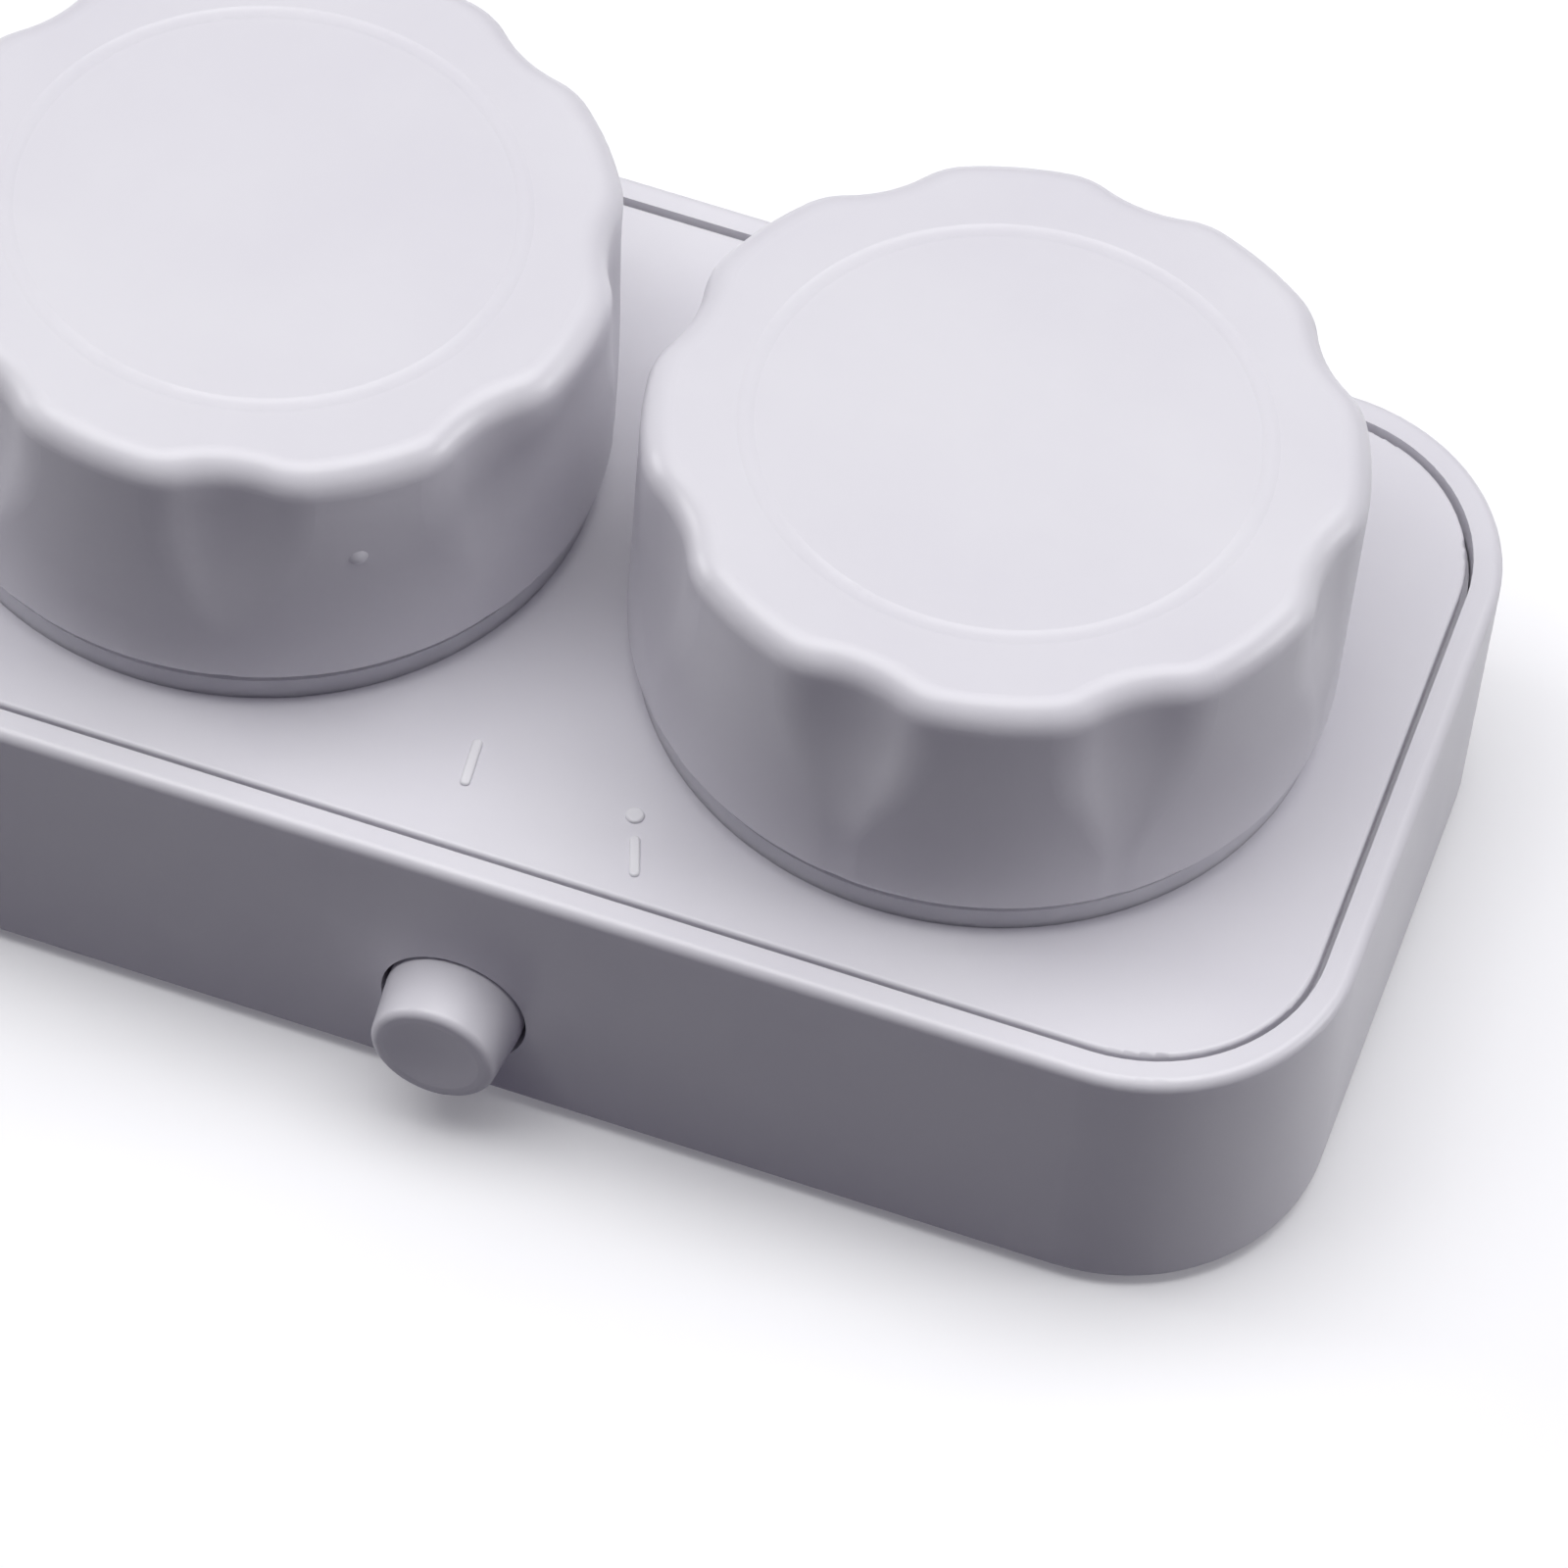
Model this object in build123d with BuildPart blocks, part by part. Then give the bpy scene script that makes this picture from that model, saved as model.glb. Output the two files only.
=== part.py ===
from build123d import *
import os
from math import atan2, cos, degrees, pi, radians, sin

# A battery-driven contact lens case. A flat tub carries a deck with two lens cups, each
# closed by a scalloped screw cap. One AAA cell, a push switch behind the front button and a
# small vibration motor sit in the tub, under the deck.
#
# Millimetres. X runs along the case, -Y points out of the button, +Z is up. The origin is on
# the surface the case stands on, under the middle of the body.

# Body and deck
BODY_L = 72.0
BODY_W = 39.0
BODY_H = 14.1
CORNER_R = 9.1
FOOT_STAND = 0.4
FLOOR_T = 1.4
WALL_T = 1.9
RIM_T = 1.3
RIM_EDGE_R = 0.5
UNDER_EDGE_R = 0.6
DECK_T = 2.0
DECK_LIP_T = 0.9
DECK_FIT = 0.07
SEAM_W = 0.3
DECK_EDGE_R = 0.2
DECK_DROP = 0.05

UNDERSIDE_Z = FOOT_STAND
FLOOR_Z = UNDERSIDE_Z + FLOOR_T
RIM_Z = UNDERSIDE_Z + BODY_H
DECK_Z = RIM_Z - DECK_DROP
LEDGE_Z = DECK_Z - DECK_T

# Screws, with a foot over each head
SCREW_X = 30.2
SCREW_Y = 13.7
SCREW_R = 0.95
SCREW_HEAD_R = 1.8
SCREW_HEAD_H = 1.2
SCREW_SLOT_W = 0.45
SCREW_SLOT_L = 2.2
SCREW_SLOT_DEPTH = 0.4
SCREW_TOP_Z = RIM_Z - 4.1
PILOT_R = 1.0
THROUGH_R = 1.15
HEAD_POCKET_R = 2.0
BOSS_R = 2.3
BOSS_MEET_Z = FLOOR_Z + 3.5
BOSS_GAP = 0.1
FOOT_R = 3.0
FOOT_T = 1.1
FOOT_POCKET_R = 3.1
FOOT_EDGE_R = 0.3

# Lens cups
CUP_X = 16.25
CUP_FLANGE_R = 14.6
CUP_FLANGE_T = 1.15
CUP_SPIGOT_R = 11.7
CUP_HOLE_R = 11.8
CUP_SPIGOT_DEPTH = 1.85
CUP_FLOOR_T = 1.3
WELL_R = 10.7
WELL_CORNER_R = 2.2
NECK_R = 12.2
NECK_TOP_Z = RIM_Z + 11.7
NECK_LIP_R = 0.5
WELL_RIBS = 8
WELL_RIB_L = 4.0
WELL_RIB_W = 0.7
WELL_RIB_H = 0.5
WELL_RIB_MID_R = 5.0

# Screw thread, two starts
THREAD_LEAD = 6.0
THREAD_STARTS = 2
NECK_CREST_R = 12.95
NECK_THREAD_Z = RIM_Z + 2.7
NECK_THREAD_H = 5.4
CAP_CREST_R = 12.5
CAP_THREAD_Z = NECK_THREAD_Z + THREAD_LEAD / THREAD_STARTS / 2
CAP_THREAD_H = 2.4
THREAD_ROOT_W = 1.3
THREAD_CREST_W = 0.6
THREAD_BITE = 0.15

# Caps
CAP_R = 15.05
CAP_BOTTOM_Z = RIM_Z + 1.65
CAP_TOP_Z = RIM_Z + 14.5
CAP_BORE_R = 13.2
CAP_ROOF_T = 1.6
CAP_TOP_EDGE_R = 1.3
CAP_FOOT_EDGE_R = 0.4
FLUTES = 8
FLUTE_CUT_R = 6.0
FLUTE_DEPTH = 0.75
FLUTE_FADE = 0.04
FLUTE_STEPS = 5
FLUTE_STRAIGHT_Z = CAP_TOP_Z - 2.5
FLUTE_END_Z = CAP_TOP_Z - 10.1
FLUTE_BLEND_R = 3.5
RIGHT_FLUTE_DEG = 39.0
LEFT_FLUTE_DEG = 15.0
CAP_RING_R = 10.8
CAP_RING_W = 0.7
CAP_RING_DEPTH = 0.06
GATE_MARK_DEG = -54.0
GATE_MARK_Z = RIM_Z + 9.3
GATE_MARK_R = 0.5
GATE_MARK_SINK = 0.3

# Cap liner
LINER_R = 12.9
LINER_T = 1.0
LINER_GAP = 0.05
LINER_BEAD_TUBE_R = 0.35

# Push button and switch
BUTTON_Z = UNDERSIDE_Z + 5.1
BUTTON_R = 3.05
BUTTON_FACE_R = 2.75
BUTTON_PROUD = 2.7
BUTTON_EDGE_R = 0.4
BUTTON_DISH_R = 2.1
BUTTON_DISH_DEPTH = 0.18
BUTTON_HOLE_R = 3.25
BUTTON_FLANGE_R = 3.6
BUTTON_FLANGE_T = 0.8
BUTTON_FLANGE_GAP = 0.15
PLUNGER_R = 1.2
PLUNGER_FIT = 0.03
PLUNGER_SOCKET = 2.4
COLLAR_R = 1.9
COLLAR_T = 0.8
SWITCH_W = 7.0
SWITCH_H = 7.4
SWITCH_FRONT_Y = -14.2
SWITCH_BACK_Y = -7.7
SWITCH_WALL = 0.8
SWITCH_HOLE_R = 1.3
SWITCH_CHAMBER_R = 2.4
SPRING_COIL_R = 1.45
SPRING_WIRE_R = 0.16
SPRING_TURNS = 5
PIN_W = 0.5
PIN_H = 1.0
PIN_L = 1.3
PIN_PITCH = 2.0
PIN_Z = FLOOR_Z + 2.3
CHEEK_T = 0.9
CHEEK_GAP = 0.1
CHEEK_H = 5.0
CHEEK_L = 4.5

# Cell and its contacts
CELL_Y = 11.2
CELL_Z = FLOOR_Z + 5.35
CELL_R = 5.2
CELL_JACKET_T = 0.12
CELL_L = 44.5
CELL_NUB_R = 1.9
CELL_NUB_L = 0.8
CELL_FOOT_INSET = 0.4
CELL_END_R = 0.4
BAY_LOW_X = -25.2
BAY_HIGH_X = 23.6
CONTACT_T = 0.4
CONTACT_W = 8.0
CONTACT_CORNER_R = 0.8
CONTACT_LOW_Z = FLOOR_Z + 1.3
CONTACT_HIGH_Z = FLOOR_Z + 9.1
TAB_END_Y = 2.8
TAB_Z = FLOOR_Z + 6.85
TAB_H = 1.6
CONTACT_PLAY = 0.05
COIL_BIG_R = 3.2
COIL_SMALL_R = 1.9
COIL_WIRE_R = 0.3
COIL_TURNS = 4
END_RIB_T = 0.8
END_RIB_H = 8.5
LONG_RIB_T = 0.8
LONG_RIB_H = 7.0
LONG_RIB_Y = 4.7
LONG_RIB_L = 40.0

# Battery cover in the floor
COVER_LOW_X = -23.9
COVER_HIGH_X = 26.0
COVER_W = 11.4
COVER_GAP = 0.2
COVER_CORNER_R = 1.0
COVER_TAB_L = 1.2
COVER_TAB_ROOT_L = 1.2
COVER_TAB_W = 1.4
COVER_TAB_T = 0.9
COVER_TAB_Y = 4.8
COVER_TAB_GAP = 0.1
LATCH_T = 0.8
LATCH_W = 5.0
LATCH_H = 2.4
GRIP_W = 6.0
GRIP_R = 2.2
GRIP_DEPTH = 0.7

# Vibration motor
MOTOR_Y = -1.2
MOTOR_Z = FLOOR_Z + 5.1
MOTOR_R = 3.5
MOTOR_LOW_X = -9.5
MOTOR_HIGH_X = 5.5
MOTOR_WALL = 0.3
MOTOR_CAP_T = 1.0
MOTOR_PLUG_L = 1.5
WINDING_LOW_X = -6.5
WINDING_L = 8.0
ROTOR_R = 2.0
MAGNET_BORE_R = 2.3
SHAFT_R = 0.5
SHAFT_FIT = 0.05
SHAFT_END_X = 11.0
WEIGHT_LOW_X = 6.4
WEIGHT_L = 4.0
WEIGHT_R = 2.8
WEIGHT_HUB_R = 1.2
SLEEVE_GAP = 0.03
SLEEVE_R = 4.5
SLEEVE_LOW_X = -8.0
SLEEVE_L = 12.0
SADDLE_X = (-6.0, 3.4)
SADDLE_T = 1.2
SADDLE_W = 10.0
SADDLE_GAP = 0.05
MOTOR_TAB_Y = (-3.0, 0.6)
MOTOR_TAB_L = 1.6
MOTOR_TAB_W = 1.0
MOTOR_TAB_T = 0.3

# Wires
WIRE_R = 0.45
WIRE_GAP = 0.02
WIRE_LANE_GAP = 0.05

# Touch marks on the deck: a bar by the left cup, a dot and a bar by the right one
MARK_H = 0.16
MARK_W = 0.45
MARK_EDGE_R = 0.12
MARK_SINK = 0.3
DOT_R = 0.4
LEFT_BAR = (-1.67, -13.6)
LEFT_BAR_L = 2.5
LEFT_BAR_DEG = 96.0
RIGHT_DOT = (5.6, -13.7)
RIGHT_BAR = (6.3, -15.7)
RIGHT_BAR_L = 2.1
RIGHT_BAR_DEG = 109.0

CORNERS = [(x, y) for x in (-SCREW_X, SCREW_X) for y in (-SCREW_Y, SCREW_Y)]
FRONT_Y = -BODY_W / 2


def body_outline(inset):
    """The rounded-rectangle plan of the body, moved inwards by inset."""
    RectangleRounded(BODY_L - 2 * inset, BODY_W - 2 * inset, CORNER_R - inset)


def button_plane(y):
    """A plane across the button's axis at y, facing out of the front wall."""
    return Plane(origin=(0, y, BUTTON_Z), x_dir=(1, 0, 0), z_dir=(0, -1, 0))


def motor_plane(x):
    """A plane across the motor's axis at x, facing +X."""
    return Plane(origin=(x, MOTOR_Y, MOTOR_Z), x_dir=(0, 1, 0), z_dir=(1, 0, 0))


def cell_plane(x):
    """A plane across the cell's axis at x, facing +X."""
    return Plane(origin=(x, CELL_Y, CELL_Z), x_dir=(0, 1, 0), z_dir=(1, 0, 0))


def cover_mid_x():
    return (COVER_LOW_X + COVER_HIGH_X) / 2


def make_body_shell():
    """The tub: outer wall, floor with the battery opening, ribs, bosses and cradles."""
    cover_l = COVER_HIGH_X - COVER_LOW_X
    end_rib_w = BODY_W / 2 - WALL_T - LONG_RIB_Y
    end_rib_y = LONG_RIB_Y + end_rib_w / 2
    with BuildPart() as shell:
        with BuildSketch(Plane.XY.offset(UNDERSIDE_Z)):
            body_outline(0)
        extrude(amount=BODY_H)
        fillet(shell.edges().group_by(Axis.Z)[-1], RIM_EDGE_R)
        fillet(shell.edges().group_by(Axis.Z)[0], UNDER_EDGE_R)
        with BuildSketch(Plane.XY.offset(FLOOR_Z)):
            body_outline(WALL_T)
        extrude(amount=BODY_H, mode=Mode.SUBTRACT)
        with BuildSketch(Plane.XY.offset(LEDGE_Z)):
            body_outline(RIM_T)
        extrude(amount=BODY_H, mode=Mode.SUBTRACT)
        # bosses that the case screws come up through
        with BuildSketch(Plane.XY.offset(FLOOR_Z)):
            with Locations(*CORNERS):
                Circle(BOSS_R)
        extrude(amount=BOSS_MEET_Z - FLOOR_Z)
        # walls of the cell bay
        with BuildSketch(Plane.XY.offset(FLOOR_Z)):
            with Locations((BAY_LOW_X - END_RIB_T / 2, end_rib_y)):
                Rectangle(END_RIB_T, end_rib_w)
            with Locations((BAY_HIGH_X + END_RIB_T / 2, end_rib_y)):
                Rectangle(END_RIB_T, end_rib_w)
        extrude(amount=END_RIB_H)
        with BuildSketch(Plane.XY.offset(FLOOR_Z)):
            with Locations((0, LONG_RIB_Y)):
                Rectangle(LONG_RIB_L, LONG_RIB_T)
        extrude(amount=LONG_RIB_H)
        # cheeks on each side of the switch
        cheek_x = SWITCH_W / 2 + CHEEK_GAP + CHEEK_T / 2
        cheek_y = SWITCH_FRONT_Y + CHEEK_L / 2
        with BuildSketch(Plane.XY.offset(FLOOR_Z)):
            with Locations((-cheek_x, cheek_y), (cheek_x, cheek_y)):
                Rectangle(CHEEK_T, CHEEK_L)
        extrude(amount=CHEEK_H)
        # saddles under the motor's sleeve
        with BuildSketch(Plane.XY.offset(FLOOR_Z)):
            with Locations(*[(x, MOTOR_Y) for x in SADDLE_X]):
                Rectangle(SADDLE_T, SADDLE_W)
        extrude(amount=MOTOR_Z - FLOOR_Z)
        with BuildSketch(motor_plane(SADDLE_X[0] - SADDLE_T)):
            Circle(SLEEVE_R + SADDLE_GAP)
        extrude(amount=SADDLE_X[1] - SADDLE_X[0] + 2 * SADDLE_T, mode=Mode.SUBTRACT)
        # button hole
        with BuildSketch(button_plane(FRONT_Y + WALL_T + BUTTON_FLANGE_GAP)):
            Circle(BUTTON_HOLE_R)
        extrude(amount=2 * WALL_T, mode=Mode.SUBTRACT)
        # battery opening, with room for the cover's latch
        with BuildSketch(Plane.XY.offset(UNDERSIDE_Z)):
            with Locations((cover_mid_x(), CELL_Y)):
                RectangleRounded(cover_l + 2 * COVER_GAP, COVER_W + 2 * COVER_GAP, COVER_CORNER_R + COVER_GAP)
        extrude(amount=FLOOR_T, mode=Mode.SUBTRACT)
        # feet, screw heads and screws
        with BuildSketch(Plane.XY.offset(UNDERSIDE_Z)):
            with Locations(*CORNERS):
                Circle(FOOT_POCKET_R)
        extrude(amount=FOOT_T - FOOT_STAND, mode=Mode.SUBTRACT)
        with BuildSketch(Plane.XY.offset(UNDERSIDE_Z)):
            with Locations(*CORNERS):
                Circle(HEAD_POCKET_R)
        extrude(amount=FOOT_T - FOOT_STAND + SCREW_HEAD_H + BOSS_GAP, mode=Mode.SUBTRACT)
        with BuildSketch(Plane.XY.offset(UNDERSIDE_Z)):
            with Locations(*CORNERS):
                Circle(THROUGH_R)
        extrude(amount=BOSS_MEET_Z, mode=Mode.SUBTRACT)
    return shell.part


def make_deck_plate():
    """The top plate: a stepped edge that leaves the seam groove, cup holes and screw bosses."""
    with BuildPart() as deck:
        with BuildSketch(Plane.XY.offset(LEDGE_Z)):
            body_outline(RIM_T + DECK_FIT)
        extrude(amount=DECK_LIP_T)
        with BuildSketch(Plane.XY.offset(LEDGE_Z)):
            body_outline(RIM_T + SEAM_W)
        extrude(amount=DECK_T)
        fillet(deck.edges().group_by(Axis.Z)[-1], DECK_EDGE_R)
        # posts that take the case screws
        with BuildSketch(Plane.XY.offset(BOSS_MEET_Z + BOSS_GAP)):
            with Locations(*CORNERS):
                Circle(BOSS_R)
        extrude(amount=LEDGE_Z - BOSS_MEET_Z)
        with BuildSketch(Plane.XY.offset(BOSS_MEET_Z)):
            with Locations(*CORNERS):
                Circle(PILOT_R)
        extrude(amount=SCREW_TOP_Z - BOSS_MEET_Z + BOSS_GAP, mode=Mode.SUBTRACT)
        # ribs that hold the motor's sleeve down
        with BuildSketch(Plane.XY.offset(MOTOR_Z + BOSS_GAP)):
            with Locations(*[(x, MOTOR_Y) for x in SADDLE_X]):
                Rectangle(SADDLE_T, SADDLE_W)
        extrude(amount=LEDGE_Z - MOTOR_Z)
        with BuildSketch(motor_plane(SADDLE_X[0] - SADDLE_T)):
            Circle(SLEEVE_R + SADDLE_GAP)
        extrude(amount=SADDLE_X[1] - SADDLE_X[0] + 2 * SADDLE_T, mode=Mode.SUBTRACT)
        # holes for the lens cups
        with BuildSketch(Plane.XY.offset(LEDGE_Z)):
            with Locations((-CUP_X, 0), (CUP_X, 0)):
                Circle(CUP_HOLE_R)
        extrude(amount=DECK_T, mode=Mode.SUBTRACT)
        # touch marks
        with BuildSketch(Plane.XY.offset(DECK_Z - MARK_SINK)):
            with Locations(Location((*LEFT_BAR, 0), LEFT_BAR_DEG)):
                SlotOverall(LEFT_BAR_L, MARK_W)
            with Locations(Location((*RIGHT_BAR, 0), RIGHT_BAR_DEG)):
                SlotOverall(RIGHT_BAR_L, MARK_W)
            with Locations(RIGHT_DOT):
                Circle(DOT_R)
        extrude(amount=MARK_SINK + MARK_H)
        fillet(deck.edges().group_by(Axis.Z)[-1], MARK_EDGE_R)
    return deck.part


def thread_ridge(start_deg, root_r, crest_r, low_z, height, centre_x):
    """One start of a right-hand thread, standing from root_r to crest_r."""
    inwards = crest_r < root_r
    bite = THREAD_BITE if inwards else -THREAD_BITE
    with BuildPart() as ridge:
        with BuildLine() as path:
            Helix(THREAD_LEAD, height, root_r)
        start = path.line @ 0
        with BuildSketch(Plane(origin=start, x_dir=(1, 0, 0), z_dir=(0, 1, 0))):
            with BuildLine():
                Polyline(
                    (bite, -THREAD_ROOT_W / 2),
                    (crest_r - root_r, -THREAD_CREST_W / 2),
                    (crest_r - root_r, THREAD_CREST_W / 2),
                    (bite, THREAD_ROOT_W / 2),
                    close=True,
                )
            make_face()
        sweep(path=path.line, is_frenet=True)
    turned = Rotation(0, 0, start_deg) * ridge.part
    return Pos(centre_x, 0, low_z) * turned


def make_lens_cup(side):
    """A cup: flange on the deck, spigot through it, and a threaded neck round the well."""
    centre_x = side * CUP_X
    ridges = [
        thread_ridge(n * 360 / THREAD_STARTS, NECK_R, NECK_CREST_R, NECK_THREAD_Z, NECK_THREAD_H, centre_x)
        for n in range(THREAD_STARTS)
    ]
    spigot_z = DECK_Z - CUP_SPIGOT_DEPTH
    well_z = spigot_z + CUP_FLOOR_T
    with BuildPart() as cup:
        with BuildSketch(Plane(origin=(centre_x, 0, 0), x_dir=(1, 0, 0), z_dir=(0, -1, 0))):
            with BuildLine():
                Polyline(
                    (0, spigot_z),
                    (CUP_SPIGOT_R, spigot_z),
                    (CUP_SPIGOT_R, DECK_Z),
                    (CUP_FLANGE_R, DECK_Z),
                    (CUP_FLANGE_R, DECK_Z + CUP_FLANGE_T),
                    (NECK_R, DECK_Z + CUP_FLANGE_T),
                    (NECK_R, NECK_TOP_Z),
                    (WELL_R, NECK_TOP_Z),
                    (WELL_R, well_z + WELL_CORNER_R),
                )
                RadiusArc((WELL_R, well_z + WELL_CORNER_R), (WELL_R - WELL_CORNER_R, well_z), WELL_CORNER_R)
                Polyline((WELL_R - WELL_CORNER_R, well_z), (0, well_z), (0, spigot_z))
            make_face()
        revolve(axis=Axis((centre_x, 0, 0), (0, 0, 1)))
        fillet(cup.edges().group_by(Axis.Z)[-1], NECK_LIP_R)
        with BuildSketch(Plane.XY.offset(well_z - BOSS_GAP)):
            with Locations((centre_x, 0)):
                with PolarLocations(WELL_RIB_MID_R, WELL_RIBS):
                    SlotOverall(WELL_RIB_L, WELL_RIB_W)
        extrude(amount=WELL_RIB_H + BOSS_GAP)
        for ridge in ridges:
            add(ridge)
    return cup.part


def flute_section(z, depth, centre_x, first_deg):
    """The scalloped outline of a cap at height z, with valleys of the given depth."""
    with BuildSketch(Plane.XY.offset(z)) as section:
        with Locations((centre_x, 0)):
            Circle(CAP_R)
            with PolarLocations(CAP_R - depth + FLUTE_CUT_R, FLUTES, start_angle=first_deg):
                Circle(FLUTE_CUT_R, mode=Mode.SUBTRACT)
        fillet(section.vertices(), FLUTE_BLEND_R)
    return section.sketch


def flute_fade(step):
    """The height and flute depth of one loft section, easing out from the top to the foot."""
    part_way = step / (FLUTE_STEPS - 1)
    eased = (1 + cos(pi * part_way)) / 2
    z = FLUTE_STRAIGHT_Z + part_way * (FLUTE_END_Z - FLUTE_STRAIGHT_Z)
    return z, FLUTE_FADE + eased * (FLUTE_DEPTH - FLUTE_FADE)


def make_cap(side, first_deg):
    """A screw cap with eight shallow flutes that fade out towards its round foot."""
    centre_x = side * CUP_X
    ridges = [
        thread_ridge(n * 360 / THREAD_STARTS, CAP_BORE_R, CAP_CREST_R, CAP_THREAD_Z, CAP_THREAD_H, centre_x)
        for n in range(THREAD_STARTS)
    ]
    with BuildPart() as cap:
        add(flute_section(FLUTE_STRAIGHT_Z, FLUTE_DEPTH, centre_x, first_deg))
        extrude(amount=CAP_TOP_Z - FLUTE_STRAIGHT_Z)
        fillet(cap.edges().group_by(Axis.Z)[-1], CAP_TOP_EDGE_R)
        for step in range(FLUTE_STEPS):
            add(flute_section(*flute_fade(step), centre_x, first_deg))
        loft()
        add(flute_section(CAP_BOTTOM_Z, FLUTE_FADE, centre_x, first_deg))
        extrude(amount=FLUTE_END_Z - CAP_BOTTOM_Z)
        fillet(cap.edges().group_by(Axis.Z)[0], CAP_FOOT_EDGE_R)
        # bore, open at the foot
        with BuildSketch(Plane.XY.offset(CAP_BOTTOM_Z)):
            with Locations((centre_x, 0)):
                Circle(CAP_BORE_R)
        extrude(amount=CAP_TOP_Z - CAP_ROOF_T - CAP_BOTTOM_Z, mode=Mode.SUBTRACT)
        # faint ring on the top face, a shallow round-bottomed groove
        groove_r = ((CAP_RING_W / 2) ** 2 + CAP_RING_DEPTH**2) / (2 * CAP_RING_DEPTH)
        with BuildSketch(Plane(origin=(centre_x, 0, 0), x_dir=(1, 0, 0), z_dir=(0, -1, 0))):
            with Locations((CAP_RING_R, CAP_TOP_Z - CAP_RING_DEPTH + groove_r)):
                Circle(groove_r)
        revolve(axis=Axis((centre_x, 0, 0), (0, 0, 1)), mode=Mode.SUBTRACT)
        for ridge in ridges:
            add(ridge)
        if side < 0:
            gate_r = CAP_R - GATE_MARK_SINK
            gate = radians(GATE_MARK_DEG)
            with Locations((centre_x + gate_r * cos(gate), gate_r * sin(gate), GATE_MARK_Z)):
                Sphere(GATE_MARK_R)
    return cap.part


def make_cap_liner(side):
    """The soft seal disc inside a cap, with a bead over the neck's rim."""
    centre_x = side * CUP_X
    top_z = CAP_TOP_Z - CAP_ROOF_T - LINER_GAP
    with BuildPart() as liner:
        with BuildSketch(Plane.XY.offset(top_z - LINER_T)):
            with Locations((centre_x, 0)):
                Circle(LINER_R)
        extrude(amount=LINER_T)
        with BuildSketch(Plane(origin=(centre_x, 0, top_z - LINER_T), x_dir=(1, 0, 0), z_dir=(0, -1, 0))):
            with Locations((WELL_R - 2 * LINER_BEAD_TUBE_R, 0)):
                Circle(LINER_BEAD_TUBE_R)
        revolve(axis=Axis((centre_x, 0, 0), (0, 0, 1)))
    return liner.part


def make_power_button():
    """The round front button, slightly tapered, with a stop flange behind the wall."""
    inner_y = FRONT_Y + WALL_T + BUTTON_FLANGE_GAP
    face_y = FRONT_Y - BUTTON_PROUD
    with BuildPart() as button:
        with BuildSketch(Plane.XY.offset(BUTTON_Z)) as profile:
            with BuildLine():
                Polyline(
                    (0, face_y),
                    (BUTTON_FACE_R, face_y),
                    (BUTTON_R, FRONT_Y),
                    (BUTTON_R, inner_y),
                    (BUTTON_FLANGE_R, inner_y),
                    (BUTTON_FLANGE_R, inner_y + BUTTON_FLANGE_T),
                    (0, inner_y + BUTTON_FLANGE_T),
                    close=True,
                )
            make_face()
            fillet(profile.vertices().sort_by(Axis.Y)[0:2].sort_by(Axis.X)[-1], BUTTON_EDGE_R)
        revolve(axis=Axis((0, 0, BUTTON_Z), (0, 1, 0)))
        with BuildSketch(button_plane(inner_y + BUTTON_FLANGE_T)):
            Circle(PLUNGER_R + PLUNGER_FIT)
        extrude(amount=PLUNGER_SOCKET, mode=Mode.SUBTRACT)
        # shallow dish in the face, the cap of a large sphere
        dish_r = (BUTTON_DISH_R**2 + BUTTON_DISH_DEPTH**2) / (2 * BUTTON_DISH_DEPTH)
        with Locations((0, face_y + BUTTON_DISH_DEPTH - dish_r, BUTTON_Z)):
            Sphere(dish_r, mode=Mode.SUBTRACT)
    return button.part


def make_switch_plunger():
    """The switch's stem, from the button's socket to the collar on the return spring."""
    socket_y = FRONT_Y + WALL_T + BUTTON_FLANGE_GAP + BUTTON_FLANGE_T - PLUNGER_SOCKET
    collar_y = SWITCH_FRONT_Y + SWITCH_WALL + PLUNGER_FIT
    with BuildPart() as plunger:
        with BuildSketch(button_plane(collar_y)):
            Circle(PLUNGER_R)
        extrude(amount=collar_y - socket_y - PLUNGER_FIT)
        with BuildSketch(button_plane(collar_y + COLLAR_T)):
            Circle(COLLAR_R)
        extrude(amount=COLLAR_T)
        chamfer(plunger.edges().group_by(Axis.Y)[0], PLUNGER_R / 4)
    return plunger.part


def make_switch_housing():
    """The push switch's box, with a round chamber for the collar and spring."""
    depth = SWITCH_BACK_Y - SWITCH_FRONT_Y
    with BuildPart() as housing:
        with BuildSketch(button_plane(SWITCH_BACK_Y)):
            Rectangle(SWITCH_W, SWITCH_H)
        extrude(amount=depth)
        chamfer(housing.edges().filter_by(Axis.Y), SWITCH_WALL / 2)
        with BuildSketch(button_plane(SWITCH_BACK_Y - SWITCH_WALL)):
            Circle(SWITCH_CHAMBER_R)
        extrude(amount=depth - 2 * SWITCH_WALL, mode=Mode.SUBTRACT)
        with BuildSketch(button_plane(SWITCH_BACK_Y - SWITCH_WALL)):
            Circle(SWITCH_HOLE_R)
        extrude(amount=depth, mode=Mode.SUBTRACT)
    return housing.part


def make_switch_spring():
    """The return spring between the collar and the back of the switch."""
    low_y = SWITCH_FRONT_Y + SWITCH_WALL + PLUNGER_FIT + COLLAR_T + SPRING_WIRE_R + PLUNGER_FIT
    high_y = SWITCH_BACK_Y - SWITCH_WALL - SPRING_WIRE_R - PLUNGER_FIT
    length = high_y - low_y
    with BuildPart() as spring:
        with BuildLine() as path:
            Helix(length / SPRING_TURNS, length, SPRING_COIL_R)
        with BuildSketch(Plane(origin=path.line @ 0, z_dir=path.line % 0)):
            Circle(SPRING_WIRE_R)
        sweep(path=path.line, is_frenet=True)
    return Pos(0, high_y, BUTTON_Z) * Rotation(90, 0, 0) * spring.part


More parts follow.
